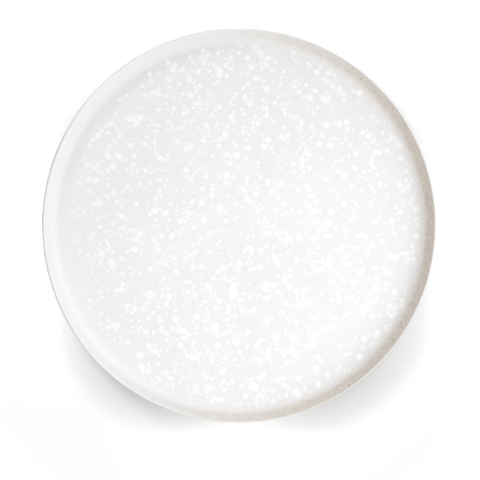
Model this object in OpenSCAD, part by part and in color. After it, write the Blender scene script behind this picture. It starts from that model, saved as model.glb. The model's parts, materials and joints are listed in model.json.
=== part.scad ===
// Charger plate: a shallow round stoneware dish with a flat well, a low flared wall and a slim rounded lip,
// turned on the wheel and glazed all over except for the land of its foot ring.
// Each piece is a revolved half section. The clay and the coats share their lines, so they seat face to face.

/* [Dish] */
// Diameter over the lip
plate_d = 320; // [260:1:400]
// Height from the table to the top of the lip
plate_h = 25; // [22:0.5:40]
// Lean of the wall's face out from the vertical, in degrees
wall_flare = 18; // [5:1:30]
// Lean of the wall's back out from the vertical, in degrees; less than its face's, so the wall thins upwards
back_flare = 8; // [0:1:18]
// Thickness of the wall at its rounded lip
lip_t = 1.4; // [1.3:0.1:4.5]
// Thickness of the floor between the well and the underside
floor_t = 6; // [4:0.1:9]
// Radius of the cove between the well and the wall
cove_r = 9.5; // [6:0.5:14]
// Radius of the heel between the underside and the wall
heel_r = 14; // [8:0.5:17]

/* [Foot ring] */
// Distance from the outside of the lip in to the outside of the foot ring
foot_setback = 40; // [32:1:90]
// Width of the land that the plate stands on
foot_w = 5; // [3:0.1:9]
// Height of the foot ring below the underside
foot_h = 4; // [3.4:0.1:7]
// Lean of the flanks of the foot ring, in degrees
foot_lean = 15; // [5:1:25]
// Radius of the turned corner between the foot ring and the underside, in the clay
foot_fillet = 2; // [1.2:0.1:3]
// Height of the bevel along both edges of the land
land_bevel = 0.6; // [0.2:0.1:1]

/* [Glaze] */
// Thickness of the glaze coats
glaze_t = 0.4; // [0.25:0.05:0.6]
// Height of the clay that is wiped bare above the table
bare_h = 1.4; // [1.1:0.1:1.8]

/* [Hidden] */
$fn = 180;
// Turn between two points of an arc, in degrees
arc_step = 4;

clay_colour = [0.71, 0.62, 0.52];
face_colour = [0.93, 0.92, 0.90];
back_colour = [0.90, 0.88, 0.85];

// The lip of the finished, glazed plate is a circle that touches the overall height and diameter
plate_r = plate_d / 2;
lip_r = lip_t / 2;
lip_centre = [plate_r - lip_r, plate_h - lip_r];

// Directions along which the cove and the heel meet the wall, out of the wall's face, and straight down
cove_end = -wall_flare;
heel_end = -back_flare;
face_in = 180 - wall_flare;
down = -90;

// The cove leaves the well level and the heel leaves the underside level, and both end along the wall
well_z = foot_h + floor_t;
cove_centre = [wall_arc_x(well_z + cove_r, cove_r + lip_r, wall_flare), well_z + cove_r];
heel_centre = [wall_arc_x(foot_h + heel_r, heel_r - lip_r, back_flare), foot_h + heel_r];

// Foot ring, and the centre of the turned corner at its outer flank
foot_r = plate_r - foot_setback;
foot_mid_r = foot_r - foot_w / 2;
clay_under_z = foot_h + glaze_t;
corner_z = clay_under_z - foot_fillet;
corner_centre = [flank_r(corner_z) + foot_fillet / cos(foot_lean), corner_z];

// Radius of the clay's outer flank of the foot ring at a height
function flank_r(z) = foot_r + z * tan(foot_lean);

// Radius of a point at a height, and at a distance inside a line that leans through the lip's centre
function wall_arc_x(z, distance, lean) =
    lip_centre.x - (distance - (z - lip_centre.y) * sin(lean)) / cos(lean);

// Unit direction at an angle from the horizontal
function dir(angle) = [cos(angle), sin(angle)];

// Points of an arc, with both of its ends
function arc(centre, radius, from, to) =
    let (steps = ceil(abs(to - from) / arc_step))
    [for (i = [0:steps]) centre + radius * dir(from + (to - from) * i / steps)];

function reversed(points) = [for (i = [len(points) - 1:-1:0]) points[i]];

// The same points on the other flank of the foot ring
function across_foot(points) = [for (p = points) [2 * foot_mid_r - p.x, p.y]];

// From the axis over the well, up the wall and round the lip, at a height of cover above the clay
function face_line(cover) = concat(
    [[0, well_z - glaze_t + cover]],
    arc(cove_centre, cove_r + glaze_t - cover, down, cove_end),
    arc(lip_centre, lip_r - glaze_t + cover, face_in, heel_end)
);

// Up the outer flank of the foot ring from the bare clay, and round the turned corner
function flank_line(cover) = concat(
    [[flank_r(bare_h) + cover / cos(foot_lean), bare_h]],
    arc(corner_centre, foot_fillet - cover, 180 - foot_lean, 90)
);

// From the foot ring along the underside, and round the heel to the wall
function back_line(cover) = concat(
    flank_line(cover),
    arc(heel_centre, heel_r - glaze_t + cover, down, heel_end)
);

// Outside of the lip, where the face coat meets the back coat
function lip_seam(cover) = lip_centre + (lip_r - glaze_t + cover) * dir(heel_end);

// From the axis to the inner flank of the foot ring, and down to the bare clay
function foot_well_line(cover) = concat(
    [[0, clay_under_z - cover]],
    reversed(across_foot(flank_line(cover)))
);

// Outer half of the bare land that stands on the table
land_line = [
    [foot_r - land_bevel, 0],
    [flank_r(land_bevel), land_bevel]
];

// Coat of glaze between the clay and its finished face
module coat(clay_line, finished_line) {
    rotate_extrude()
        polygon(concat(finished_line, reversed(clay_line)));
}

// Stoneware body with its turned foot ring
module clay_body() {
    color(clay_colour)
        rotate_extrude()
            polygon(concat(
                foot_well_line(0),
                reversed(across_foot(land_line)),
                land_line,
                back_line(0),
                reversed(face_line(0))
            ));
}

// Coat over the well, up the wall and round the lip
module face_glaze() {
    color(face_colour)
        coat(face_line(0), face_line(glaze_t));
}

// Coat under the wall, in to the outer flank of the foot ring
module back_glaze() {
    color(back_colour)
        coat(
            concat(back_line(0), [lip_seam(0)]),
            concat(back_line(glaze_t), [lip_seam(glaze_t)])
        );
}

// Coat inside the foot ring, with the ring's inner flank
module foot_well_glaze() {
    color(back_colour)
        coat(foot_well_line(0), foot_well_line(glaze_t));
}

clay_body();
face_glaze();
back_glaze();
foot_well_glaze();
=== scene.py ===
"""Charger plate: a wheel-turned stoneware dish in satin off-white glaze with a spatter of white drops.

The plate lies on its foot ring. Its clay body and its glaze coats are turned as closed solids round the
plate's axis, from one half section, and the drops of the spatter are low domes that sit on the face glaze.
"""

import json
import logging
import math
import random
from dataclasses import dataclass
from enum import Enum
from functools import cached_property

import bpy
from mathutils import Matrix, Vector
from mathutils.bvhtree import BVHTree


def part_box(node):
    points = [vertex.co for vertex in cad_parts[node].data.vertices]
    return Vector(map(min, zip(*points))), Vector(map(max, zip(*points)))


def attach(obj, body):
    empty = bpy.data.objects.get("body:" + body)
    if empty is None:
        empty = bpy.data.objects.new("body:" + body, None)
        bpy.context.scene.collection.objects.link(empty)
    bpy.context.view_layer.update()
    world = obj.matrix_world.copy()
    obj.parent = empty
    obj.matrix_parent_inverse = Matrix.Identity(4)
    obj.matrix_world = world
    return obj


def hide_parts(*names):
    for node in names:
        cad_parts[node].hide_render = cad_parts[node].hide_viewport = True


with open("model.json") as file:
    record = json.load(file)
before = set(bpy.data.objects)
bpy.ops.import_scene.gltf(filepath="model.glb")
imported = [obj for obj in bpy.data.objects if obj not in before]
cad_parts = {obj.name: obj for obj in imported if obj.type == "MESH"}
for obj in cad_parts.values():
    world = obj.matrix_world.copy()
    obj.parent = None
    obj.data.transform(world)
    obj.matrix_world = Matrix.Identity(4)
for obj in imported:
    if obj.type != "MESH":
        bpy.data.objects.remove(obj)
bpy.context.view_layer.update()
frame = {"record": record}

LOG = logging.getLogger("charger_plate")
MM = 0.001
DOWN = -math.pi / 2
BODY = "root"
WHITENESS = "whiteness"

Point = tuple[float, float]
Span = tuple[float, float]
Colour = tuple[float, float, float]
Inputs = dict[str | int, object]
Material = bpy.types.Material
NodeTree = bpy.types.NodeTree
Piece = bpy.types.Object
Socket = bpy.types.NodeSocket


def clear_selection() -> None:
    """Leaves object mode's selection empty, so that an operator meets only new pieces."""
    bpy.ops.object.select_all(action="DESELECT")


def make_active(piece: Piece) -> None:
    """Selects one piece alone and makes it the active one.

    Args:
        piece: The piece.
    """
    clear_selection()
    piece.select_set(True)
    bpy.context.view_layer.objects.active = piece


@dataclass(frozen=True)
class DishSection:
    """Half section of the glazed dish in metres, with x out from the axis and z up from the table.

    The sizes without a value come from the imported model. A cover is a height above the clay: nothing for
    the clay's own line, and the glaze's thickness for a finished face.
    """

    radius: float
    height: float
    well_z: float
    clay_under_z: float
    foot_mid_r: float
    glaze_t: float
    bare_h: float
    wall_flare: float = math.radians(18.0)
    back_flare: float = math.radians(8.0)
    lip_t: float = 1.4 * MM
    cove_r: float = 9.5 * MM
    heel_r: float = 14.0 * MM
    foot_w: float = 5.0 * MM
    foot_lean: float = math.radians(15.0)
    foot_fillet: float = 2.0 * MM
    land_bevel: float = 0.6 * MM
    arc_turn: float = math.radians(4.0)
    hidden_turn: float = math.radians(12.0)
    ring_gap: float = 8.0 * MM
    bead_points: int = 6

    @classmethod
    def from_frame(cls) -> "DishSection":
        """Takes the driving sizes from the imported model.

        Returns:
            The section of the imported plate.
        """
        low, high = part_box("face_glaze")
        foot_low, foot_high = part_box("foot_well_glaze")
        clay_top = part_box("clay_body")[1].z
        mounts = {mount["name"]: mount["pos_m"] for mount in frame["record"]["mounts"]}
        return cls(
            radius=min(high.x, high.y, -low.x, -low.y),
            height=high.z,
            well_z=mounts["well_floor"][2],
            clay_under_z=foot_high.z,
            foot_mid_r=mounts["foot_land"][0],
            glaze_t=high.z - clay_top,
            bare_h=foot_low.z,
        )

    @property
    def lip_r(self) -> float:
        """Radius of the rounded lip."""
        return self.lip_t / 2

    @property
    def lip_centre(self) -> Point:
        """Centre of the rounded lip."""
        return self.radius - self.lip_r, self.height - self.lip_r

    @property
    def cove_centre(self) -> Point:
        """Centre of the cove between the well and the wall."""
        z = self.well_z + self.cove_r
        return self.inside_wall(z, self.cove_r + self.lip_r, self.wall_flare), z

    @property
    def heel_centre(self) -> Point:
        """Centre of the heel between the underside and the wall."""
        z = self.clay_under_z - self.glaze_t + self.heel_r
        return self.inside_wall(z, self.heel_r - self.lip_r, self.back_flare), z

    @property
    def foot_r(self) -> float:
        """Radius of the outside of the foot ring at the table."""
        return self.foot_mid_r + self.foot_w / 2

    @property
    def corner_centre(self) -> Point:
        """Centre of the turned corner between the foot ring and the underside."""
        z = self.clay_under_z - self.foot_fillet
        return self.flank_r(z) + self.foot_fillet / math.cos(self.foot_lean), z

    def inside_wall(self, z: float, distance: float, lean: float) -> float:
        """Radius of a point at a height, by its distance inside a leaning line from the lip's centre."""
        lip_x, lip_z = self.lip_centre
        return lip_x - (distance - (z - lip_z) * math.sin(lean)) / math.cos(lean)

    def flank_r(self, z: float) -> float:
        """Radius of the foot ring's outer flank of clay at a height."""
        return self.foot_r + z * math.tan(self.foot_lean)

    def arc(self, centre: Point, radius: float, start: float, end: float, cover: float) -> list[Point]:
        """Lays points along an arc, with both of its ends.

        Args:
            centre: Centre of the arc.
            radius: Radius of the arc.
            start: Direction of the first point.
            end: Direction of the last point.
            cover: Height of the line above the clay. The clay's own line is hidden, so it is coarser.

        Returns:
            The points.
        """
        count = math.ceil(abs(end - start) / (self.arc_turn if cover else self.hidden_turn))
        turns = [start + (end - start) * step / count for step in range(count + 1)]
        return [(centre[0] + radius * math.cos(t), centre[1] + radius * math.sin(t)) for t in turns]

    def level_rings(self, start: float, end: float, z: float) -> list[Point]:
        """Lays points along a level line, without its end."""
        count = math.ceil((end - start) / self.ring_gap)
        return [(start + (end - start) * step / count, z) for step in range(count)]

    def across_foot(self, points: list[Point]) -> list[Point]:
        """Carries points to the other flank of the foot ring, in the other order."""
        return [(2 * self.foot_mid_r - x, z) for x, z in reversed(points)]

    def face_line(self, cover: float) -> list[Point]:
        """Runs from the axis over the well, up the wall and round the lip.

        Args:
            cover: Height of the line above the clay.

        Returns:
            The points.
        """
        centre = self.cove_centre
        lip_start, lip_end = math.pi - self.wall_flare, -self.back_flare
        return [
            *self.level_rings(0.0, centre[0], self.well_z - self.glaze_t + cover),
            *self.arc(centre, self.cove_r + self.glaze_t - cover, DOWN, -self.wall_flare, cover),
            *self.arc(self.lip_centre, self.lip_r - self.glaze_t + cover, lip_start, lip_end, cover),
        ]

    def flank_start(self) -> Point:
        """Point on the outer flank of the foot ring where the bare clay ends."""
        return self.flank_r(self.bare_h), self.bare_h

    def glaze_bead(self) -> list[Point]:
        """Rolls the end of a coat up from the bare clay to its full thickness.

        Returns:
            The points on the outer flank, from the clay to the finished face.
        """
        x, z = self.flank_start()
        up = (math.sin(self.foot_lean), math.cos(self.foot_lean))
        points = []
        for step in range(self.bead_points + 1):
            turn = math.pi / 2 * step / self.bead_points
            along, out = self.glaze_t * 2 * (1 - math.cos(turn)), self.glaze_t * math.sin(turn)
            points.append((x + along * up[0] + out * up[1], z + along * up[1] - out * up[0]))
        return points

    def corner_line(self, cover: float) -> list[Point]:
        """Runs round the turned corner at the foot of the outer flank."""
        return self.arc(self.corner_centre, self.foot_fillet - cover, math.pi - self.foot_lean, -DOWN, cover)

    def heel_line(self, cover: float) -> list[Point]:
        """Runs from the turned corner along the underside, round the heel and up to the lip.

        Args:
            cover: Height of the line above the clay.

        Returns:
            The points.
        """
        corner_x, centre = self.corner_centre[0], self.heel_centre
        lip_x, lip_z = self.lip_centre
        reach = self.lip_r - self.glaze_t + cover
        rings = self.level_rings(corner_x, centre[0], self.clay_under_z - cover)
        return [
            *rings[1:],
            *self.arc(centre, self.heel_r - self.glaze_t + cover, DOWN, -self.back_flare, cover),
            (lip_x + reach * math.cos(self.back_flare), lip_z - reach * math.sin(self.back_flare)),
        ]

    def land_line(self) -> list[Point]:
        """Runs round the outer edge of the land, from the table up to the flank.

        Returns:
            The points.
        """
        bevel, out = self.land_bevel, self.flank_r(self.land_bevel) - self.foot_r + self.land_bevel
        quarter = self.arc((0.0, bevel), bevel, DOWN, 0.0, 0.0)
        return [(self.foot_r - bevel + x / bevel * out, z) for x, z in quarter]

    def foot_floor(self, cover: float) -> list[Point]:
        """Runs from the axis along the underside to the corner inside the foot ring."""
        end = 2 * self.foot_mid_r - self.corner_centre[0]
        return self.level_rings(0.0, end, self.clay_under_z - cover)

    def clay_outline(self) -> list[Point]:
        """Outline of the clay body, from the axis under the plate round to the axis in the well."""
        flank = [self.flank_start(), *self.corner_line(0.0)]
        return [
            *self.foot_floor(0.0),
            *self.across_foot(flank),
            *self.across_foot(self.land_line()),
            *self.land_line(),
            *flank,
            *self.heel_line(0.0),
            *reversed(self.face_line(0.0)),
        ]

    def face_outline(self) -> list[Point]:
        """Outline of the coat over the well, the wall and the lip."""
        return [*self.face_line(self.glaze_t), *reversed(self.face_line(0.0))]

    def back_outline(self) -> list[Point]:
        """Outlines the coat under the wall, in to the outer flank of the foot ring.

        Returns:
            The points, as a closed loop.
        """
        finished = [*self.glaze_bead(), *self.corner_line(self.glaze_t), *self.heel_line(self.glaze_t)]
        seat = [*self.corner_line(0.0), *self.heel_line(0.0)]
        return [*finished, *reversed(seat), self.flank_start()]

    def foot_well_outline(self) -> list[Point]:
        """Outline of the coat inside the foot ring."""
        finished = [*self.glaze_bead(), *self.corner_line(self.glaze_t)]
        return [
            *self.foot_floor(self.glaze_t),
            *self.across_foot(finished),
            *reversed(self.across_foot(self.corner_line(0.0))),
            *reversed(self.foot_floor(0.0)),
        ]


@dataclass(frozen=True)
class Lathe:
    """Turns outlines into closed solids round the plate's axis."""

    steps: int = 288
    weld: float = 0.002 * MM
    sharp: float = math.radians(40.0)

    def turn(self, name: str, outline: list[Point]) -> Piece:
        """Draws an outline point by point and spins it into a solid.

        Args:
            name: Name of the piece.
            outline: Half section, either from axis to axis or as a closed loop.

        Returns:
            The piece, at the origin.
        """
        clear_selection()
        bpy.ops.mesh.primitive_plane_add(size=MM)
        piece = bpy.context.object
        piece.name = piece.data.name = name
        bpy.ops.object.mode_set(mode="EDIT")
        bpy.ops.mesh.select_all(action="SELECT")
        bpy.ops.mesh.merge(type="CENTER")
        bpy.ops.transform.translate(value=(outline[0][0], 0.0, outline[0][1]))
        for (x, z), (next_x, next_z) in zip(outline, outline[1:]):
            bpy.ops.mesh.extrude_region_move(TRANSFORM_OT_translate={"value": (next_x - x, 0.0, next_z - z)})
        bpy.ops.mesh.select_all(action="SELECT")
        bpy.ops.mesh.spin(steps=self.steps, angle=math.tau, center=(0, 0, 0), axis=(0, 0, 1))
        bpy.ops.mesh.select_all(action="SELECT")
        bpy.ops.mesh.remove_doubles(threshold=self.weld)
        bpy.ops.mesh.normals_make_consistent(inside=False)
        bpy.ops.object.mode_set(mode="OBJECT")
        bpy.ops.object.shade_smooth_by_angle(angle=self.sharp)
        return piece

    def loosen(self, piece: Piece, line: list[Point], depth: float, grain: float) -> None:
        """Presses a finished face in unevenly by a hair, as a hand-dipped coat is uneven.

        Args:
            piece: Turned piece.
            line: Points of its finished face.
            depth: Most that a point moves in.
            grain: Size of the unevenness.
        """
        finished = {(round(x / self.weld), round(z / self.weld)) for x, z in line}
        chosen = [
            vertex.index
            for vertex in piece.data.vertices
            if (round(vertex.co.xy.length / self.weld), round(vertex.co.z / self.weld)) in finished
        ]
        group = piece.vertex_groups.new(name="finished")
        group.add(chosen, 1.0, "REPLACE")
        texture = bpy.data.textures.new(f"{piece.name}_uneven", "CLOUDS")
        texture.noise_scale = grain
        make_active(piece)
        modifier = piece.modifiers.new("uneven", "DISPLACE")
        modifier.texture, modifier.texture_coords = texture, "LOCAL"
        modifier.strength, modifier.mid_level = depth, 1.0
        modifier.vertex_group = group.name
        bpy.ops.object.modifier_apply(modifier=modifier.name)
        piece.vertex_groups.clear()


class Graph:
    """A node tree under construction."""

    def __init__(self, tree: NodeTree) -> None:
        """Empties a tree and takes it over."""
        self.tree = tree
        tree.nodes.clear()

    def add(self, kind: str, inputs: Inputs | None = None, **settings: object) -> bpy.types.Node:
        """Adds a node.

        Args:
            kind: Node type.
            inputs: Values or sockets for the node's inputs, by name or place.
            **settings: The node's own properties.

        Returns:
            The node.
        """
        node = self.tree.nodes.new(kind)
        for key, value in settings.items():
            setattr(node, key, value)
        for key, value in (inputs or {}).items():
            if isinstance(value, Socket):
                self.tree.links.new(value, node.inputs[key])
            else:
                socket = node.inputs[key]
                socket.default_value = (*value, 1.0) if socket.type == "RGBA" else value
        return node

    def calc(self, operation: str, first: object, second: object) -> Socket:
        """Works out one value from two."""
        return self.add("ShaderNodeMath", {0: first, 1: second}, operation=operation).outputs[0]

    def length(self, vector: Socket) -> Socket:
        """Gives the length of a vector."""
        return self.add("ShaderNodeVectorMath", {0: vector}, operation="LENGTH").outputs["Value"]

    def reach(self, vector: Socket, side: object) -> Socket:
        """Gives how far a vector reaches towards a side."""
        node = self.add("ShaderNodeVectorMath", {0: vector, 1: side}, operation="DOT_PRODUCT")
        return node.outputs["Value"]

    def noise(self, place: Socket, scale: object, detail: float, roughness: float = 0.5) -> Socket:
        """Gives a soft noise over a surface."""
        values = {"Vector": place, "Scale": scale, "Detail": detail, "Roughness": roughness}
        return self.add("ShaderNodeTexNoise", values).outputs["Fac"]

    def ease(self, value: object, low: object, high: object, start: float = 0.0, end: float = 1.0) -> Socket:
        """Maps a value smoothly from low and high to start and end."""
        span = {"Value": value, "From Min": low, "From Max": high, "To Min": start, "To Max": end}
        return self.add("ShaderNodeMapRange", span, interpolation_type="SMOOTHSTEP").outputs[0]

    def blend(self, share: object, under: object, over: object, way: str = "MIX") -> Socket:
        """Mixes a share of one colour over another."""
        sockets = {0: share, 6: under, 7: over}
        return self.add("ShaderNodeMix", sockets, data_type="RGBA", blend_type=way).outputs[2]

    def place(self) -> Socket:
        """Gives the point of the surface, in the plate's own frame."""
        return self.add("ShaderNodeTexCoord").outputs["Object"]


class SocketKind(Enum):
    """Kinds of socket that the shared groups use."""

    VECTOR = "NodeSocketVector"
    VALUE = "NodeSocketFloat"
    COLOUR = "NodeSocketColor"


class Group(Graph):
    """A shared node group under construction, which always takes the place on the surface."""

    def __init__(self, name: str, inputs: dict[str, SocketKind], outputs: dict[str, SocketKind]) -> None:
        """Starts the group.

        Args:
            name: Name of the group.
            inputs: Its other inputs.
            outputs: Its outputs.
        """
        super().__init__(bpy.data.node_groups.new(name, "ShaderNodeTree"))
        takes = {"Place": SocketKind.VECTOR, **inputs}
        for way, sockets in (("INPUT", takes), ("OUTPUT", outputs)):
            for label, kind in sockets.items():
                self.tree.interface.new_socket(name=label, in_out=way, socket_type=kind.value)
        self.given = self.add("NodeGroupInput").outputs
        self.result = self.add("NodeGroupOutput").inputs

    def put(self, label: str, value: Socket) -> None:
        """Sends a value to one of the outputs."""
        self.tree.links.new(value, self.result[label])


class Effects:
    """Node groups that more than one finish uses, each built once."""

    CLOUD_SPAN = (0.34, 0.66)
    CLOUD_DETAIL = 4.0
    CLOUD_ROUGHNESS = 0.55
    LEAST_SPECK = 0.45
    SPECK_CORE = 0.55
    SKIN_DETAIL = 3.0
    SWELL_DETAIL = 2.0
    SWELL_SCALE = 0.06
    SWELL_HEIGHT = 4.0
    LINE_DETAIL = 3.0
    NOISE_MIDDLE = 0.5

    @cached_property
    def fired_tone(self) -> NodeTree:
        """Clouds two tones of a glaze or clay into each other, as the kiln does.

        Returns:
            The group.
        """
        inputs = {"Tone": SocketKind.COLOUR, "Shade": SocketKind.COLOUR, "Scale": SocketKind.VALUE}
        group = Group("fired_tone", inputs, {"Colour": SocketKind.COLOUR})
        given = group.given
        noise = group.noise(given["Place"], given["Scale"], self.CLOUD_DETAIL, self.CLOUD_ROUGHNESS)
        share = group.ease(noise, *self.CLOUD_SPAN)
        group.put("Colour", group.blend(share, given["Tone"], given["Shade"]))
        return group.tree

    @cached_property
    def specks(self) -> NodeTree:
        """Scatters specks of uneven size, in a share of the cells of a random pattern.

        Returns:
            The group.
        """
        inputs = dict.fromkeys(("Cells", "Share", "Size"), SocketKind.VALUE)
        group = Group("specks", inputs, {"Mask": SocketKind.VALUE})
        given = group.given
        cells = group.add("ShaderNodeTexVoronoi", {"Vector": given["Place"], "Scale": given["Cells"]})
        chance = group.add("ShaderNodeSeparateColor", {0: cells.outputs["Color"]}).outputs
        size = group.calc("MULTIPLY", given["Size"], group.ease(chance[1], 0.0, 1.0, self.LEAST_SPECK))
        core = group.calc("MULTIPLY", size, self.SPECK_CORE)
        inside = group.ease(cells.outputs["Distance"], core, size, 1.0, 0.0)
        taken = group.calc("LESS_THAN", chance[0], given["Share"])
        group.put("Mask", group.calc("MULTIPLY", inside, taken))
        return group.tree

    @cached_property
    def skin(self) -> NodeTree:
        """Gives the soft unevenness of a fired surface, as a height and as a drift of its gloss.

        Returns:
            The group.
        """
        inputs = dict.fromkeys(("Grain", "Rough", "Drift"), SocketKind.VALUE)
        group = Group("fired_skin", inputs, dict.fromkeys(("Height", "Roughness"), SocketKind.VALUE))
        given, place, grain = group.given, group.given["Place"], group.given["Grain"]
        fine = group.noise(place, grain, self.SKIN_DETAIL)
        swell = group.noise(place, group.calc("MULTIPLY", grain, self.SWELL_SCALE), self.SWELL_DETAIL)
        group.put("Height", group.calc("ADD", fine, group.calc("MULTIPLY", swell, self.SWELL_HEIGHT)))
        offset = group.calc("SUBTRACT", swell, self.NOISE_MIDDLE)
        spread = group.calc("MULTIPLY", offset, given["Drift"])
        group.put("Roughness", group.calc("ADD", given["Rough"], spread))
        return group.tree

    @cached_property
    def height_break(self) -> NodeTree:
        """Marks where a finish changes with height, along a ragged line.

        Returns:
            The group.
        """
        inputs = dict.fromkeys(("From", "To", "Ragged", "Cells"), SocketKind.VALUE)
        group = Group("height_break", inputs, {"Mask": SocketKind.VALUE})
        given, place = group.given, group.given["Place"]
        noise = group.noise(place, given["Cells"], self.LINE_DETAIL)
        offset = group.calc("SUBTRACT", noise, self.NOISE_MIDDLE)
        shift = group.calc("MULTIPLY", offset, given["Ragged"])
        z = group.add("ShaderNodeSeparateXYZ", {0: place}).outputs["Z"]
        group.put("Mask", group.ease(group.calc("ADD", z, shift), given["From"], given["To"]))
        return group.tree


class MaterialGraph(Graph):
    """The node tree of a new material."""

    def __init__(self, name: str) -> None:
        """Starts the material."""
        self.material = bpy.data.materials.new(name)
        self.material.use_nodes = True
        super().__init__(self.material.node_tree)

    def close(self, shader: Socket) -> Material:
        """Gives the material its shader and hands it over."""
        self.add("ShaderNodeOutputMaterial", {"Surface": shader})
        return self.material


@dataclass(frozen=True)
class Specks:
    """Specks in a finish: cells to the metre, share of cells with one, size in cells and strength."""

    cells: float
    share: float
    size: float
    strength: float


@dataclass(frozen=True)
class BreakLine:
    """Ragged line where a finish changes with height, with its start and its end above a level."""

    start: float
    end: float
    ragged: float
    cells: float


@dataclass(frozen=True)
class Skin:
    """Relief of a fired surface, and how rough it is."""

    grain: float
    roughness: float
    drift: float
    bump: float
    depth: float = 0.3 * MM


class FiredSurface(MaterialGraph):
    """Material of a fired surface under construction, from its tones to its skin."""

    def __init__(self, name: str, effects: Effects) -> None:
        """Starts the material, with no colour yet."""
        super().__init__(name)
        self.effects, self.spot = effects, self.place()
        self.colour: Socket | None = None

    def effect(self, group: NodeTree, inputs: Inputs) -> bpy.types.Node:
        """Places a shared node group with its own values."""
        return self.add("ShaderNodeGroup", {"Place": self.spot, **inputs}, node_tree=group)

    def clouds(self, tone: Colour, shade: Colour, scale: float) -> Socket:
        """Clouds two tones into each other."""
        values = {"Tone": tone, "Shade": shade, "Scale": scale}
        return self.effect(self.effects.fired_tone, values).outputs["Colour"]

    def cover(self, share: Socket, colour: object) -> None:
        """Lays a share of a colour over the colour so far."""
        self.colour = self.blend(share, self.colour, colour)

    def speck(self, specks: Specks, tone: Colour, kept: Socket | None = None) -> None:
        """Scatters specks over the colour so far.

        Args:
            specks: The specks.
            tone: Their colour.
            kept: Part of them that a place keeps.
        """
        share = specks.share if kept is None else self.calc("MULTIPLY", kept, specks.share)
        values = {"Cells": specks.cells, "Share": share, "Size": specks.size}
        mask = self.effect(self.effects.specks, values).outputs["Mask"]
        self.cover(self.calc("MULTIPLY", mask, specks.strength), tone)

    def change(self, level: float, line: BreakLine, colour: object) -> None:
        """Changes the colour past a ragged line near a level.

        Args:
            level: Height of the level.
            line: The line.
            colour: Colour past the line.
        """
        ends = {"From": level + line.start, "To": level + line.end}
        values = {"Ragged": line.ragged, "Cells": line.cells, **ends}
        self.cover(self.effect(self.effects.height_break, values).outputs["Mask"], colour)

    def fire(self, skin: Skin, optics: Inputs, ridges: Socket | None = None) -> Material:
        """Finishes the material with its skin.

        Args:
            skin: Relief and roughness.
            optics: Plain values of the shader.
            ridges: Height to add to the skin's own.

        Returns:
            The material.
        """
        values = {"Grain": skin.grain, "Rough": skin.roughness, "Drift": skin.drift}
        relief = self.effect(self.effects.skin, values).outputs
        height = relief["Height"] if ridges is None else self.calc("ADD", relief["Height"], ridges)
        bump = self.add("ShaderNodeBump", {"Height": height, "Strength": skin.bump, "Distance": skin.depth})
        look = {"Base Color": self.colour, "Roughness": relief["Roughness"], "Normal": bump.outputs[0]}
        shader = self.add("ShaderNodeBsdfPrincipled", {**look, **optics})
        return self.close(shader.outputs["BSDF"])


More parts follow.
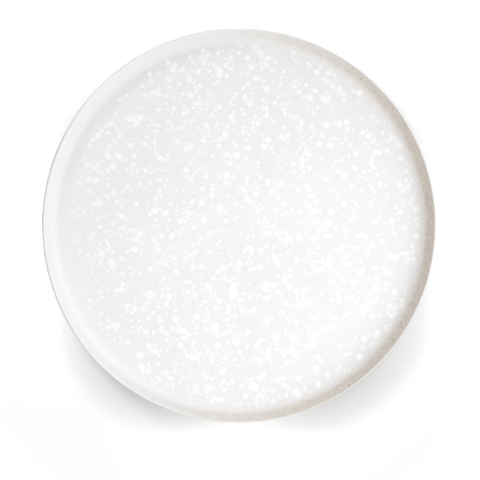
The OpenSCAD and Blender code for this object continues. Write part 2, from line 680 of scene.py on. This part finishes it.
@dataclass(frozen=True)
class FaceGlazeFinish:
    """Satin off-white glaze of the face, with painted shade at the well's rim, in the upper left cove and on
    the shaded right wall and lip.

    A span runs from where an effect starts to where it is full. With drops the finish also serves the
    spatter, which whitens from its rims inwards.
    """

    name: str
    section: DishSection
    effects: Effects
    tone: Colour = (0.814, 0.821, 0.830)
    shade: Colour = (0.791, 0.793, 0.797)
    cloud_scale: float = 11.0
    drop_white: Colour = (0.924, 0.930, 0.938)
    fine_specks: Specks = Specks(430.0, 0.34, 0.34, 0.45)
    # Painted shade: the well darkens towards its rim, where the light falls off.
    rim_shade_tone: Colour = (0.780, 0.782, 0.785)
    rim_shade_span: Span = (50.0 * MM, 145.0 * MM)
    rim_shade_share: float = 0.8
    # Painted shade: a darker band in the cove on the upper left, where shade falls at the foot of the wall.
    cove_shade_tone: Colour = (0.725, 0.718, 0.710)
    cove_shade_side: tuple[float, float, float] = (-0.70, 0.71, 0.0)
    cove_shade_reach: Span = (60.0 * MM, 160.0 * MM)
    cove_shade_ring: Span = (136.0 * MM, 149.0 * MM)
    # Painted shade: the wall is pale on the lit left and a darker, warmer mottled tone on the right, which
    # faces away from the light.
    wall_pale: Colour = (0.757, 0.755, 0.752)
    shaded_wall_tone: Colour = (0.760, 0.712, 0.660)
    shaded_wall_dark: Colour = (0.655, 0.595, 0.530)
    wall_line: BreakLine = BreakLine(0.1 * MM, 4.5 * MM, 3.5 * MM, 260.0)
    mottle_scale: float = 330.0
    # Direction and span of the side that faces away from the light, where the wall and lip are painted in
    # shade and the iron specks keep.
    shade_side: tuple[float, float, float] = (0.966, -0.259, 0.0)
    shade_reach: Span = (-90.0 * MM, 130.0 * MM)
    iron: Colour = (0.300, 0.225, 0.165)
    iron_specks: Specks = Specks(280.0, 0.50, 0.34, 0.55)
    iron_reach: Span = (30.0 * MM, 130.0 * MM)
    iron_rise: Span = (1.0 * MM, 7.0 * MM)
    # Painted light and shade on the lip: pale at the top, a darker warm tone on the shaded right, and a grey
    # line on the left where the lip turns away from the light.
    lip_pale: Colour = (0.840, 0.840, 0.840)
    lip_tone: Colour = (0.650, 0.618, 0.585)
    lip_shade: Colour = (0.630, 0.630, 0.630)
    lip_line: BreakLine = BreakLine(-1.4 * MM, -0.4 * MM, 0.5 * MM, 150.0)
    shaded_x: Span = (-115.0 * MM, -155.0 * MM)
    skin: Skin = Skin(620.0, 0.48, 0.22, 0.035)
    ior: float = 1.5
    has_drops: bool = False

    def material(self) -> Material:
        """Builds the material.

        Returns:
            The material.
        """
        graph = FiredSurface(self.name, self.effects)
        place, well_z = graph.spot, self.section.well_z
        level = graph.add("ShaderNodeVectorMath", {0: place, 1: (1.0, 1.0, 0.0)}, operation="MULTIPLY")
        radius = graph.length(level.outputs[0])
        axes = graph.add("ShaderNodeSeparateXYZ", {0: place}).outputs
        # How far each point lies towards the side in shade.
        aside = graph.reach(place, self.shade_side)
        in_shade = graph.ease(aside, *self.shade_reach)
        graph.colour = graph.clouds(self.tone, self.shade, self.cloud_scale)
        # Painted shade darkens the well towards its rim.
        graph.cover(graph.ease(radius, *self.rim_shade_span, 0.0, self.rim_shade_share), self.rim_shade_tone)
        # Painted shade in the cove on the upper left.
        on_cove_shade_side = graph.ease(graph.reach(place, self.cove_shade_side), *self.cove_shade_reach)
        graph.cover(graph.calc("MULTIPLY", graph.ease(radius, *self.cove_shade_ring), on_cove_shade_side), self.cove_shade_tone)
        graph.speck(self.fine_specks, self.drop_white)
        # Painted shade: the wall on the shaded right turns a darker, warmer mottled tone.
        mottled_shade = graph.clouds(self.shaded_wall_tone, self.shaded_wall_dark, self.mottle_scale)
        graph.change(well_z, self.wall_line, graph.blend(in_shade, self.wall_pale, mottled_shade))
        risen = graph.ease(axes["Z"], *(well_z + rise for rise in self.iron_rise))
        bared = graph.calc("MULTIPLY", risen, graph.ease(aside, *self.iron_reach))
        graph.speck(self.iron_specks, self.iron, bared)
        # Painted light and shade on the lip, by side.
        lip = graph.blend(in_shade, self.lip_pale, self.lip_tone)
        lip = graph.blend(graph.ease(axes["X"], *self.shaded_x), lip, self.lip_shade)
        graph.change(self.section.height, self.lip_line, lip)
        if self.has_drops:
            white = graph.add("ShaderNodeAttribute", attribute_name=WHITENESS).outputs["Fac"]
            graph.cover(white, self.drop_white)
        return graph.fire(self.skin, {"IOR": self.ior})


@dataclass(frozen=True)
class BackGlazeFinish:
    """Satin glaze of the underside, a little warmer, specked with iron and toasted at the foot ring."""

    name: str
    section: DishSection
    effects: Effects
    tone: Colour = (0.765, 0.757, 0.735)
    shade: Colour = (0.725, 0.712, 0.684)
    cloud_scale: float = 16.0
    iron: Colour = (0.290, 0.210, 0.150)
    small_specks: Specks = Specks(380.0, 0.16, 0.22, 0.6)
    large_specks: Specks = Specks(120.0, 0.10, 0.13, 0.75)
    toasted: Colour = (0.560, 0.455, 0.350)
    foot_line: BreakLine = BreakLine(1.6 * MM, 0.1 * MM, 1.2 * MM, 90.0)
    lip_tone: Colour = (0.715, 0.705, 0.692)
    lip_line: BreakLine = BreakLine(-3.6 * MM, -1.6 * MM, 0.9 * MM, 150.0)
    skin: Skin = Skin(560.0, 0.44, 0.25, 0.045)
    ior: float = 1.5

    def material(self) -> Material:
        """Builds the material.

        Returns:
            The material.
        """
        graph = FiredSurface(self.name, self.effects)
        graph.colour = graph.clouds(self.tone, self.shade, self.cloud_scale)
        for specks in (self.small_specks, self.large_specks):
            graph.speck(specks, self.iron)
        graph.change(self.section.bare_h, self.foot_line, self.toasted)
        graph.change(self.section.height, self.lip_line, self.lip_tone)
        return graph.fire(self.skin, {"IOR": self.ior})


@dataclass(frozen=True)
class ClayFinish:
    """Bare fired stoneware: matt, sandy, and lined by the turning tool."""

    effects: Effects
    name: str = "bare_stoneware"
    tone: Colour = (0.505, 0.400, 0.300)
    shade: Colour = (0.430, 0.330, 0.240)
    cloud_scale: float = 70.0
    grog: Colour = (0.240, 0.170, 0.115)
    grog_specks: Specks = Specks(900.0, 0.3, 0.3, 0.55)
    ring_scale: float = 340.0
    ring_waver: float = 1.5
    ring_detail: float = 2.0
    ring_shade: float = 0.16
    ring_height: float = 0.8
    skin: Skin = Skin(1500.0, 0.86, 0.15, 0.35, 0.2 * MM)
    gloss: float = 0.25

    def material(self) -> Material:
        """Builds the material.

        Returns:
            The material.
        """
        graph = FiredSurface(self.name, self.effects)
        graph.colour = graph.clouds(self.tone, self.shade, self.cloud_scale)
        graph.speck(self.grog_specks, self.grog)
        waves = {"Scale": self.ring_scale, "Distortion": self.ring_waver, "Detail": self.ring_detail}
        kind = {"wave_type": "RINGS", "rings_direction": "Z"}
        rings = graph.add("ShaderNodeTexWave", {"Vector": graph.spot, **waves}, **kind).outputs["Fac"]
        graph.cover(graph.calc("MULTIPLY", rings, self.ring_shade), self.shade)
        ridges = graph.calc("MULTIPLY", rings, self.ring_height)
        return graph.fire(self.skin, {"Specular IOR Level": self.gloss}, ridges)


def dress(piece: Piece, material: Material, slot: str, *nodes: str) -> None:
    """Gives a piece its finish and its body, and hides the CAD nodes that it stands for.

    Args:
        piece: Finished piece.
        material: Its material.
        slot: Not used.
        *nodes: CAD nodes that it stands for.
    """
    piece.data.materials.clear()
    piece.data.materials.append(material)
    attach(piece, BODY)
    if nodes:
        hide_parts(*nodes)
    LOG.info("%s: %d faces", piece.name, len(piece.data.polygons))


@dataclass(frozen=True)
class ClayBody:
    """The thrown and turned stoneware body, which shows only on the land of its foot ring."""

    section: DishSection
    lathe: Lathe
    effects: Effects

    def build(self) -> None:
        """Turns and dresses the body."""
        piece = self.lathe.turn("stoneware_body", self.section.clay_outline())
        dress(piece, ClayFinish(self.effects).material(), "clay", "clay_body")


@dataclass(frozen=True)
class GlazeCoats:
    """The coats of glaze on the face, under the wall and inside the foot ring."""

    section: DishSection
    lathe: Lathe
    effects: Effects
    uneven: float = 0.12 * MM
    grain: float = 26.0 * MM

    def build_face(self) -> Piece:
        """Turns and dresses the coat over the well, the wall and the lip.

        Returns:
            The piece.
        """
        piece = self.lathe.turn("face_coat", self.section.face_outline())
        self.lathe.loosen(piece, self.section.face_line(self.section.glaze_t)[:-1], self.uneven, self.grain)
        finish = FaceGlazeFinish("face_glaze", self.section, self.effects)
        dress(piece, finish.material(), "face_glaze", "face_glaze")
        return piece

    def build_under(self) -> None:
        """Turns and dresses the two coats of the underside."""
        back = self.lathe.turn("back_coat", self.section.back_outline())
        well = self.lathe.turn("foot_well_coat", self.section.foot_well_outline())
        material = BackGlazeFinish("back_glaze", self.section, self.effects).material()
        dress(back, material, "back_glaze", "back_glaze")
        dress(well, material, "back_glaze", "foot_well_glaze")


class DropSize(Enum):
    """Sizes of drop, by the number of their sides."""

    FINE = 8
    ROUND = 10
    BROAD = 14


@dataclass(frozen=True)
class Drop:
    """One drop of the spatter: its place, its size and how white it is."""

    x: float
    y: float
    diameter: float
    strength: float
    pinhole: bool = False


@dataclass(frozen=True)
class DropShape:
    """Modelled drop of unit radius and unit height, to be copied."""

    mesh: bpy.types.Mesh
    whiteness: list[float]
    tip: int


@dataclass(frozen=True)
class SpatterDrops:
    """Drops of white glaze that were flicked over the well from a brush.

    A white is a share of full whiteness, and the satellites' sizes and distances are shares of a diameter.
    """

    section: DishSection
    effects: Effects
    seed: int = 417
    aside: float = 5.0 * MM
    tall: float = 1.03
    parents: int = 2140
    median_d: float = 3.2 * MM
    spread: float = 0.52
    least_d: float = 0.9 * MM
    most_d: float = 7.5 * MM
    fine_below: float = 2.0 * MM
    round_below: float = 3.8 * MM
    white: Span = (0.4, 1.0)
    white_power: float = 0.7
    satellite_share: float = 0.42
    satellite_away: Span = (0.55, 1.5)
    satellite_d: Span = (0.5, 0.95)
    satellite_white: Span = (0.35, 0.95)
    cove_drops: int = 120
    cove_reach: float = 4.5 * MM
    cove_white: Span = (0.15, 0.5)
    pinhole_from: float = 3.2 * MM
    pinhole_share: float = 0.16
    pinhole_white: float = 0.25
    # Painted light: the drops fade towards the left end of the spatter, where the strong light washes them
    # out.
    full_white: float = 0.85
    faint_white: float = 0.3
    faint_x: float = -140.0 * MM
    faint_w: float = 32.0 * MM
    shoulder: Span = (0.38, 0.55)
    crown: Span = (0.32, 0.30)
    tip_rise: float = 0.1
    upward: float = 0.9
    level: float = 0.01
    rise: float = 0.010
    least_rise: float = 0.015 * MM
    sunk: float = 0.3
    oval: float = 0.12
    oval_turns: float = 3.0
    variants: int = 4
    wobble: float = 0.03

    def model_drop(self, size: DropSize, seed: int) -> DropShape:
        """Models one drop of unit radius and unit height, as a low dome on a sunken stem.

        Args:
            size: Number of its sides.
            seed: Seed of its uneven outline.

        Returns:
            The drop's shape, with the whiteness of its points.
        """
        clear_selection()
        bpy.ops.mesh.primitive_cylinder_add(vertices=size.value, radius=1.0, depth=1.0, location=(0, 0, -0.5))
        drop = bpy.context.object
        bpy.ops.object.transform_apply(location=True)
        bpy.ops.object.mode_set(mode="EDIT")
        bpy.ops.mesh.select_mode(type="FACE")
        bpy.ops.mesh.select_all(action="DESELECT")
        bpy.ops.object.mode_set(mode="OBJECT")
        for face in drop.data.polygons:
            face.select = face.normal.z > self.upward
        bpy.ops.object.mode_set(mode="EDIT")
        for thickness, depth in (self.shoulder,) if size is DropSize.FINE else (self.shoulder, self.crown):
            bpy.ops.mesh.inset(thickness=thickness, depth=depth)
        bpy.ops.mesh.poke(offset=self.tip_rise)
        bpy.ops.mesh.select_mode(type="EDGE")
        bpy.ops.mesh.select_all(action="DESELECT")
        bpy.ops.object.mode_set(mode="OBJECT")
        heights = [vertex.co.z for vertex in drop.data.vertices]
        for edge in drop.data.edges:
            edge.select = all(abs(heights[end]) < self.level for end in edge.vertices)
        drop.data.attributes.new(WHITENESS, "FLOAT", "POINT")
        bpy.ops.object.mode_set(mode="EDIT")
        bpy.ops.mesh.mark_sharp()
        bpy.ops.mesh.select_all(action="SELECT")
        bpy.ops.transform.vertex_random(offset=self.wobble, seed=seed)
        bpy.ops.object.mode_set(mode="OBJECT")
        bpy.ops.object.shade_smooth()
        mesh = drop.data
        bpy.data.objects.remove(drop)
        whiteness = [min(max(z / self.full_white, 0.0), 1.0) for z in heights]
        return DropShape(mesh, whiteness, heights.index(max(heights)))

    def size_of(self, drop: Drop) -> DropSize:
        """Chooses the size of shape that suits a drop's diameter."""
        small = DropSize.FINE if drop.diameter < self.fine_below else DropSize.ROUND
        return small if drop.diameter < self.round_below else DropSize.BROAD

    def _diameter(self, draw: random.Random) -> float:
        """Draws a diameter: many small drops and a few broad ones."""
        return min(max(draw.lognormvariate(math.log(self.median_d), self.spread), self.least_d), self.most_d)

    def scatter(self) -> list[Drop]:
        """Throws the drops over the well, some in small clusters, and a few faint ones on the cove.

        Returns:
            The drops.
        """
        draw = random.Random(self.seed)
        reach = self.section.cove_centre[0]
        drops: list[Drop] = []
        for _ in range(self.parents):
            radius, turn = (reach - self.aside / 2) * math.sqrt(draw.random()), draw.uniform(0.0, math.tau)
            diameter = self._diameter(draw)
            pinhole = diameter > self.pinhole_from and draw.random() < self.pinhole_share
            x, y = self.aside + radius * math.cos(turn), self.tall * radius * math.sin(turn)
            drop = Drop(x, y, diameter, draw.uniform(*self.white) ** self.white_power, pinhole)
            drops.append(drop)
            while draw.random() < self.satellite_share:
                away = drop.diameter * draw.uniform(*self.satellite_away)
                turn = draw.uniform(0.0, math.tau)
                x, y = drop.x + away * math.cos(turn), drop.y + away * math.sin(turn)
                smaller = max(self.least_d, self._diameter(draw) * draw.uniform(*self.satellite_d))
                if math.hypot(x, y) < reach + self.aside / 2:
                    drops.append(Drop(x, y, smaller, draw.uniform(*self.satellite_white)))
        for _ in range(self.cove_drops):
            radius, turn = reach + draw.uniform(0.0, self.cove_reach), draw.uniform(0.0, math.tau)
            diameter = draw.uniform(self.least_d, self.median_d)
            x, y = radius * math.cos(turn), radius * math.sin(turn)
            drops.append(Drop(x, y, diameter, draw.uniform(*self.cove_white)))
        return drops

    def kept_white(self, drop: Drop) -> float:
        """Gives how white a drop looks; as painted light it falls towards the left end of the spatter, where
        strong light washes the drops out.
        """
        along = min(max((drop.x - self.faint_x) / self.faint_w, 0.0), 1.0)
        return drop.strength * (self.faint_white + (1.0 - self.faint_white) * along)

    def glaze_below(self, x: float, y: float, face: BVHTree) -> tuple[Vector, Vector]:
        """Finds the point of the glaze below a place, with the normal there."""
        return face.ray_cast(Vector((x, y, self.section.height)), Vector((0, 0, -1)))[:2]

    def settle(self, mesh: bpy.types.Mesh, drop: Drop, rise: float, face: BVHTree) -> None:
        """Bends a drop to the cove, with the foot of its stem deep enough to stay below the glaze.

        Args:
            mesh: Mesh of the drop, which lies flat on the glaze at its middle.
            drop: The drop.
            rise: Height of its dome.
            face: Surface of the coat.
        """
        point, normal = self.glaze_below(drop.x, drop.y, face)
        sag = (drop.diameter / 2) ** 2 / (2 * self.section.cove_r)
        for vertex in mesh.vertices:
            above = (vertex.co - point).dot(normal)
            seat, out = self.glaze_below(vertex.co.x, vertex.co.y, face)
            vertex.co = seat + out * (above if above > -rise else above - sag)

    def lay(self, drop: Drop, shape: DropShape, face: BVHTree, turn: float) -> Piece:
        """Copies a drop's shape and lays it on the glaze where the drop fell.

        Args:
            drop: The drop.
            shape: Drop of unit size.
            face: Surface of the coat that the drop lies on.
            turn: Turn of the copy about its own axis.

        Returns:
            The copy, with its own mesh.
        """
        point, normal = self.glaze_below(drop.x, drop.y, face)
        radius, rise = drop.diameter / 2, max(drop.diameter * self.rise, self.least_rise)
        stand = Vector((0, 0, 1)).rotation_difference(normal).to_matrix().to_4x4()
        stretch = 1.0 + self.oval * math.sin(turn * self.oval_turns)
        size = Matrix.Diagonal((radius * stretch, radius / stretch, rise, 1.0))
        place = Matrix.Translation(point - normal * rise * self.sunk)
        mesh = shape.mesh.copy()
        mesh.transform(place @ stand @ Matrix.Rotation(turn, 4, "Z") @ size)
        if math.hypot(drop.x, drop.y) + radius > self.section.cove_centre[0]:
            self.settle(mesh, drop, rise, face)
        values = [value * self.kept_white(drop) for value in shape.whiteness]
        if drop.pinhole:
            values[shape.tip] *= self.pinhole_white
        mesh.attributes[WHITENESS].data.foreach_set("value", values)
        copy = bpy.data.objects.new("drop", mesh)
        bpy.context.collection.objects.link(copy)
        return copy

    def build(self, face: Piece) -> None:
        """Models, copies, joins and dresses the drops, one piece for each size.

        Args:
            face: Coat that the drops lie on.
        """
        finish = FaceGlazeFinish("spatter_glaze", self.section, self.effects, has_drops=True)
        material = finish.material()
        drops = self.scatter()
        draw = random.Random(self.seed + 1)
        surface = BVHTree.FromObject(face, bpy.context.evaluated_depsgraph_get())
        for size in DropSize:
            shapes = [self.model_drop(size, seed) for seed in range(self.variants)]
            copies = [
                self.lay(drop, draw.choice(shapes), surface, draw.uniform(0.0, math.tau))
                for drop in drops
                if self.size_of(drop) is size
            ]
            make_active(copies[0])
            for copy in copies:
                copy.select_set(True)
            bpy.ops.object.join()
            piece = bpy.context.object
            piece.name = piece.data.name = f"spatter_{size.name.lower()}"
            dress(piece, material, "face_glaze")


@dataclass(frozen=True)
class SkyPatch:
    """Soft patch of light in the studio's sky, by its turn from +X towards +Y and its height."""

    turn: float
    height: float
    falloff: float
    colour: Colour

    @property
    def middle(self) -> Vector:
        """Direction of the brightest point."""
        turn, height = math.radians(self.turn), math.radians(self.height)
        level = math.cos(height)
        return Vector((math.cos(turn) * level, math.sin(turn) * level, math.sin(height)))


@dataclass(frozen=True)
class Lamp:
    """Round soft lamp that points at the plate."""

    name: str
    watts: float
    size: float
    place: tuple[float, float, float]
    colour: Colour = (1.0, 1.0, 1.0)

    def hang(self) -> Piece:
        """Adds the lamp to the scene, hidden from the camera.

        Returns:
            The lamp.
        """
        clear_selection()
        bpy.ops.object.light_add(type="AREA", location=self.place)
        lamp = bpy.context.object
        lamp.name = lamp.data.name = self.name
        lamp.data.energy, lamp.data.color = self.watts, self.colour
        lamp.data.shape, lamp.data.size = "DISK", self.size
        lamp.rotation_euler = (-Vector(self.place)).to_track_quat("-Z", "Y").to_euler()
        lamp.visible_camera = False
        return lamp


@dataclass(frozen=True)
class Studio:
    """Pale floor, soft light and a camera that looks straight down on the plate."""

    section: DishSection
    picture: float = 480.0
    plate_centre_px: Point = (238.36, 225.07)
    plate_r_px: float = 196.9
    lens_mm: float = 100.0
    sensor_mm: float = 36.0
    floor_size: float = 2.4
    floor_fade: Span = (0.19, 0.27)
    floor_pale: Colour = (0.495, 0.495, 0.495)
    floor_rough: float = 0.95
    sky: tuple[SkyPatch, ...] = (
        SkyPatch(0.0, 90.0, 8.0, (0.895, 0.87, 0.845)),
        SkyPatch(45.0, 4.0, 5.0, (1.72, 1.74, 1.76)),
        SkyPatch(90.0, 35.0, 5.0, (1.07, 1.08, 1.09)),
        SkyPatch(180.0, 35.0, 5.0, (0.94, 0.87, 0.80)),
        SkyPatch(270.0, 4.0, 5.0, (1.14, 1.14, 1.13)),
        SkyPatch(315.0, 4.0, 5.0, (1.27, 1.28, 1.29)),
        SkyPatch(0.0, -90.0, 1.0, (0.75, 0.75, 0.75)),
    )
    soft_lamp: Lamp = Lamp("soft_lamp", 4.0, 1.0, (0.40, -0.38, 0.68), (0.97, 0.985, 1.0))
    side_lamp: Lamp = Lamp("side_lamp", 0.75, 0.6, (0.60, 0.0, 0.45), (0.97, 0.985, 1.0))
    floor_lamps: tuple[Lamp, ...] = (
        Lamp("floor_far", 2.03, 0.3, (0.0, 0.50, 0.55)),
        Lamp("floor_far_left", 3.71, 0.3, (-0.36, 0.36, 0.55)),
        Lamp("floor_far_right", 2.00, 0.3, (0.36, 0.36, 0.55)),
        Lamp("floor_near", 0.19, 0.06, (0.0, -0.24, 0.04)),
        Lamp("floor_near_left", 0.315, 0.06, (-0.24, -0.03, 0.04)),
        Lamp("floor_near_right", 0.115, 0.06, (0.24, -0.03, 0.04)),
    )

    def lay_floor(self) -> Piece:
        """Lays a pale floor that fades out around the plate and can be seen through from below.

        The sky's lowest patch stands in for the light that it throws back.

        Returns:
            The floor.
        """
        clear_selection()
        bpy.ops.mesh.primitive_plane_add(size=self.floor_size)
        floor = bpy.context.object
        floor.name = "floor"
        graph = MaterialGraph("pale_floor")
        matt = {"Base Color": self.floor_pale, "Roughness": self.floor_rough, "Specular IOR Level": 0.0}
        pale = graph.add("ShaderNodeBsdfPrincipled", matt)
        clear = graph.add("ShaderNodeBsdfTransparent")
        below = graph.add("ShaderNodeNewGeometry").outputs["Backfacing"]
        faded = graph.ease(graph.length(graph.place()), *self.floor_fade)
        gone = graph.calc("MAXIMUM", below, faded)
        mix = graph.add("ShaderNodeMixShader", {0: gone, 1: pale.outputs[0], 2: clear.outputs[0]})
        floor.data.materials.append(graph.close(mix.outputs[0]))
        floor.visible_diffuse = floor.visible_glossy = floor.visible_shadow = False
        return floor

    def hang_sky(self) -> None:
        """Hangs a sky of soft patches, which is white to the camera."""
        world = bpy.data.worlds.new("studio_sky")
        bpy.context.scene.world = world
        world.use_nodes = True
        graph = Graph(world.node_tree)
        way = graph.add("ShaderNodeTexCoord").outputs["Generated"]
        colour: object = (0.0, 0.0, 0.0)
        for patch in self.sky:
            facing = graph.calc("MAXIMUM", graph.reach(way, patch.middle), 0.0)
            share = graph.calc("POWER", facing, patch.falloff)
            colour = graph.blend(share, colour, patch.colour, way="ADD")
        seen = graph.add("ShaderNodeLightPath").outputs["Is Camera Ray"]
        colour = graph.blend(seen, colour, (1.0, 1.0, 1.0))
        sky = graph.add("ShaderNodeBackground", {"Color": colour})
        graph.add("ShaderNodeOutputWorld", {"Surface": sky.outputs[0]})

    def light(self, floor: Piece) -> None:
        """Sets up the sky, the lamps for the plate and the lamps for the floor.

        Args:
            floor: Floor that the last lamps light alone, so that the plate shades it.
        """
        self.hang_sky()
        self.soft_lamp.hang()
        self.side_lamp.hang()
        lit = bpy.data.collections.new("floor_only")
        lit.objects.link(floor)
        for lamp in self.floor_lamps:
            lamp.hang().light_linking.receiver_collection = lit
        bpy.context.scene.view_settings.view_transform = "Standard"

    def add_camera(self) -> None:
        """Adds the camera above the plate, with the plate where the picture has it."""
        pixel = self.section.radius / self.plate_r_px
        distance = self.lens_mm / self.sensor_mm * self.picture * pixel
        middle = (self.picture - 1) / 2
        x = (middle - self.plate_centre_px[0]) * pixel
        y = (self.plate_centre_px[1] - middle) * pixel
        clear_selection()
        bpy.ops.object.camera_add(location=(x, y, self.section.lip_centre[1] + distance), rotation=(0, 0, 0))
        camera = bpy.context.object
        camera.name = "camera"
        camera.data.lens, camera.data.sensor_width = self.lens_mm, self.sensor_mm
        bpy.context.scene.camera = camera


def main() -> None:
    """Builds the plate and its studio in order."""
    logging.basicConfig(level=logging.INFO, format="%(name)s %(message)s")
    section, lathe, effects = DishSection.from_frame(), Lathe(), Effects()
    studio = Studio(section)
    studio.add_camera()
    ClayBody(section, lathe, effects).build()
    coats = GlazeCoats(section, lathe, effects)
    coats.build_under()
    SpatterDrops(section, effects).build(coats.build_face())
    studio.light(studio.lay_floor())


if __name__ == "__main__":
    main()
